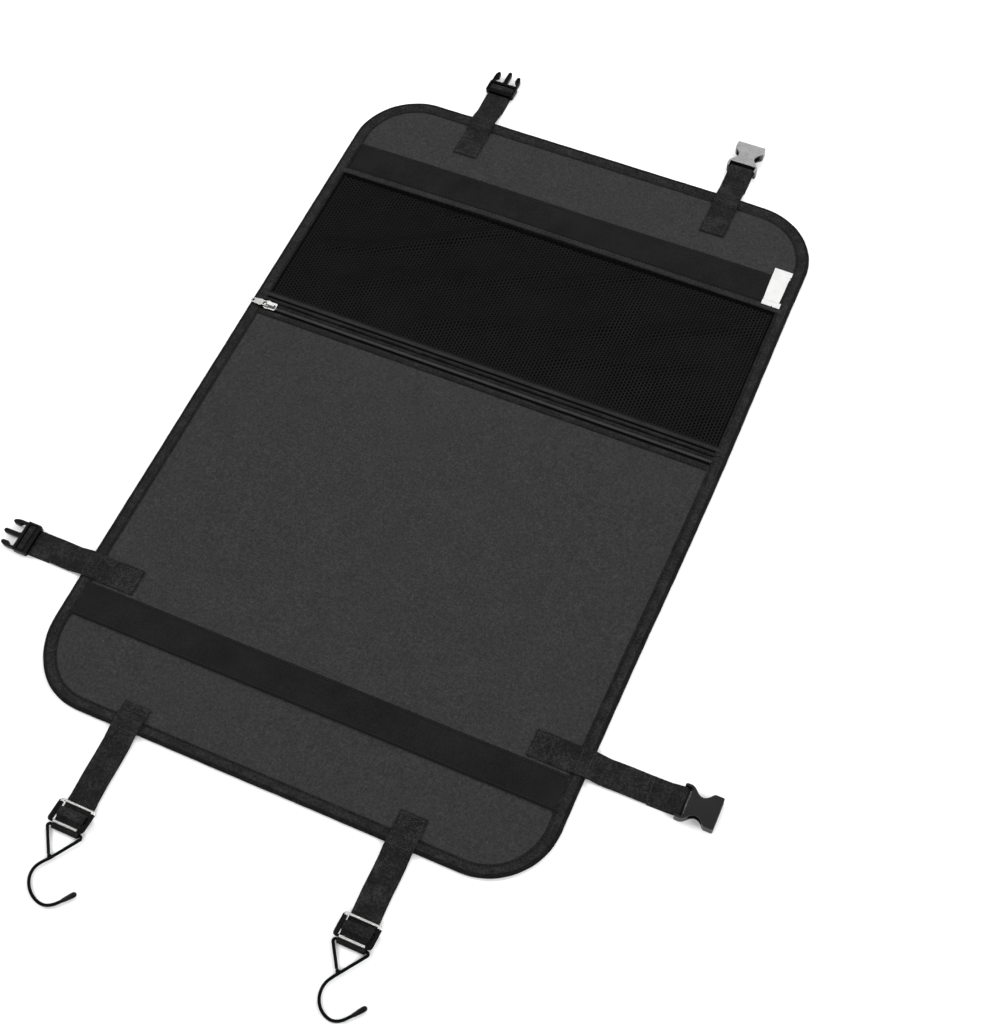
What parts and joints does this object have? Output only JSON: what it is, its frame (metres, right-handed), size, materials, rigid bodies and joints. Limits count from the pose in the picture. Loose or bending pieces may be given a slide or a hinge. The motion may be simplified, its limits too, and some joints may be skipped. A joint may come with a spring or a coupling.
{
  "type": "car seat back organizer",
  "caption": "Flat bound cloth kick mat for a car seat back, with a mesh pocket, a zipped pocket, side-release buckle straps and webbing straps that end in wire hooks.",
  "frame": {"origin": "middle of the underside of the box round the whole object, mat and straps laid out flat", "axes": "+X across the mat, +Y up it toward the headrest straps, +Z off the floor, out of the pocket side"},
  "size_m": [0.6476, 0.9052, 0.009],
  "materials": {
    "grey_oxford": "heathered charcoal oxford cloth, matt",
    "black_cloth": "smooth black cloth, matt",
    "black_mesh": "fine black mesh",
    "binding_tape": "black woven tape",
    "webbing": "ribbed black webbing",
    "label_white": "plain white woven label",
    "zip_coil": "black nylon coil",
    "nickel": "nickel plate, lightly brushed",
    "black_plastic": "moulded, satin to gloss",
    "coated_wire": "black coated wire",
    "hook_cap": "soft black cap"
  },
  "bodies": {
    "mat": {"back_panel": "grey_oxford", "zip_pocket_panel": "grey_oxford", "pocket_backing": "black_cloth", "mesh_pocket": "black_mesh", "pocket_top_elastic": "black_cloth", "mesh_hem": "black_cloth", "lower_band": "black_cloth", "edge_binding": "binding_tape", "side_label": "label_white", "zipper_tape_upper": "binding_tape", "zipper_tape_lower": "binding_tape", "zipper_coil_upper": "zip_coil", "zipper_coil_lower": "zip_coil", "strap_top_left": "webbing", "strap_top_right": "webbing", "strap_side_left": "webbing", "strap_side_right": "webbing", "strap_bottom_left": "webbing", "strap_bottom_right": "webbing", "buckle_male_top": "black_plastic", "buckle_male_side": "black_plastic", "strap_slide_left": "nickel", "strap_slide_right": "nickel"},
    "slider": {"zipper_slider": "nickel"},
    "pull": {"zipper_pull": "nickel"},
    "socket_top": {"buckle_female_top": "black_plastic"},
    "socket_side": {"buckle_female_side": "black_plastic"},
    "hook_left": {"hook_left": "coated_wire", "hook_tip_left": "hook_cap"},
    "hook_right": {"hook_right": "coated_wire", "hook_tip_right": "hook_cap"}
  },
  "joints": [
    {"name": "zip_run", "type": "slide", "parent": "mat", "child": "slider", "axis": [1, 0, 0], "range_m": [0, 0.418]},
    {"name": "pull_swing", "type": "hinge", "parent": "slider", "child": "pull", "pos_m": [-0.2242, 0.1097, 0.0063], "axis": [0, 1, 0], "range_deg": [0, 135]},
    {"name": "socket_top_swing", "type": "hinge", "parent": "mat", "child": "socket_top", "pos_m": [0.1212, 0.4213, 0.0045], "axis": [1, 0, 0], "range_deg": [-95, 95]},
    {"name": "socket_side_swing", "type": "hinge", "parent": "mat", "child": "socket_side", "pos_m": [0.2941, -0.1853, 0.0045], "axis": [0, -1, 0], "range_deg": [-95, 95]},
    {"name": "hook_left_swing", "type": "hinge", "parent": "mat", "child": "hook_left", "pos_m": [-0.1368, -0.3939, 0.0029], "axis": [-1, 0, 0], "range_deg": [-115, 75]},
    {"name": "hook_right_swing", "type": "hinge", "parent": "mat", "child": "hook_right", "pos_m": [0.1082, -0.3857, 0.0029], "axis": [-1, 0, 0], "range_deg": [-115, 75]}
  ]
}
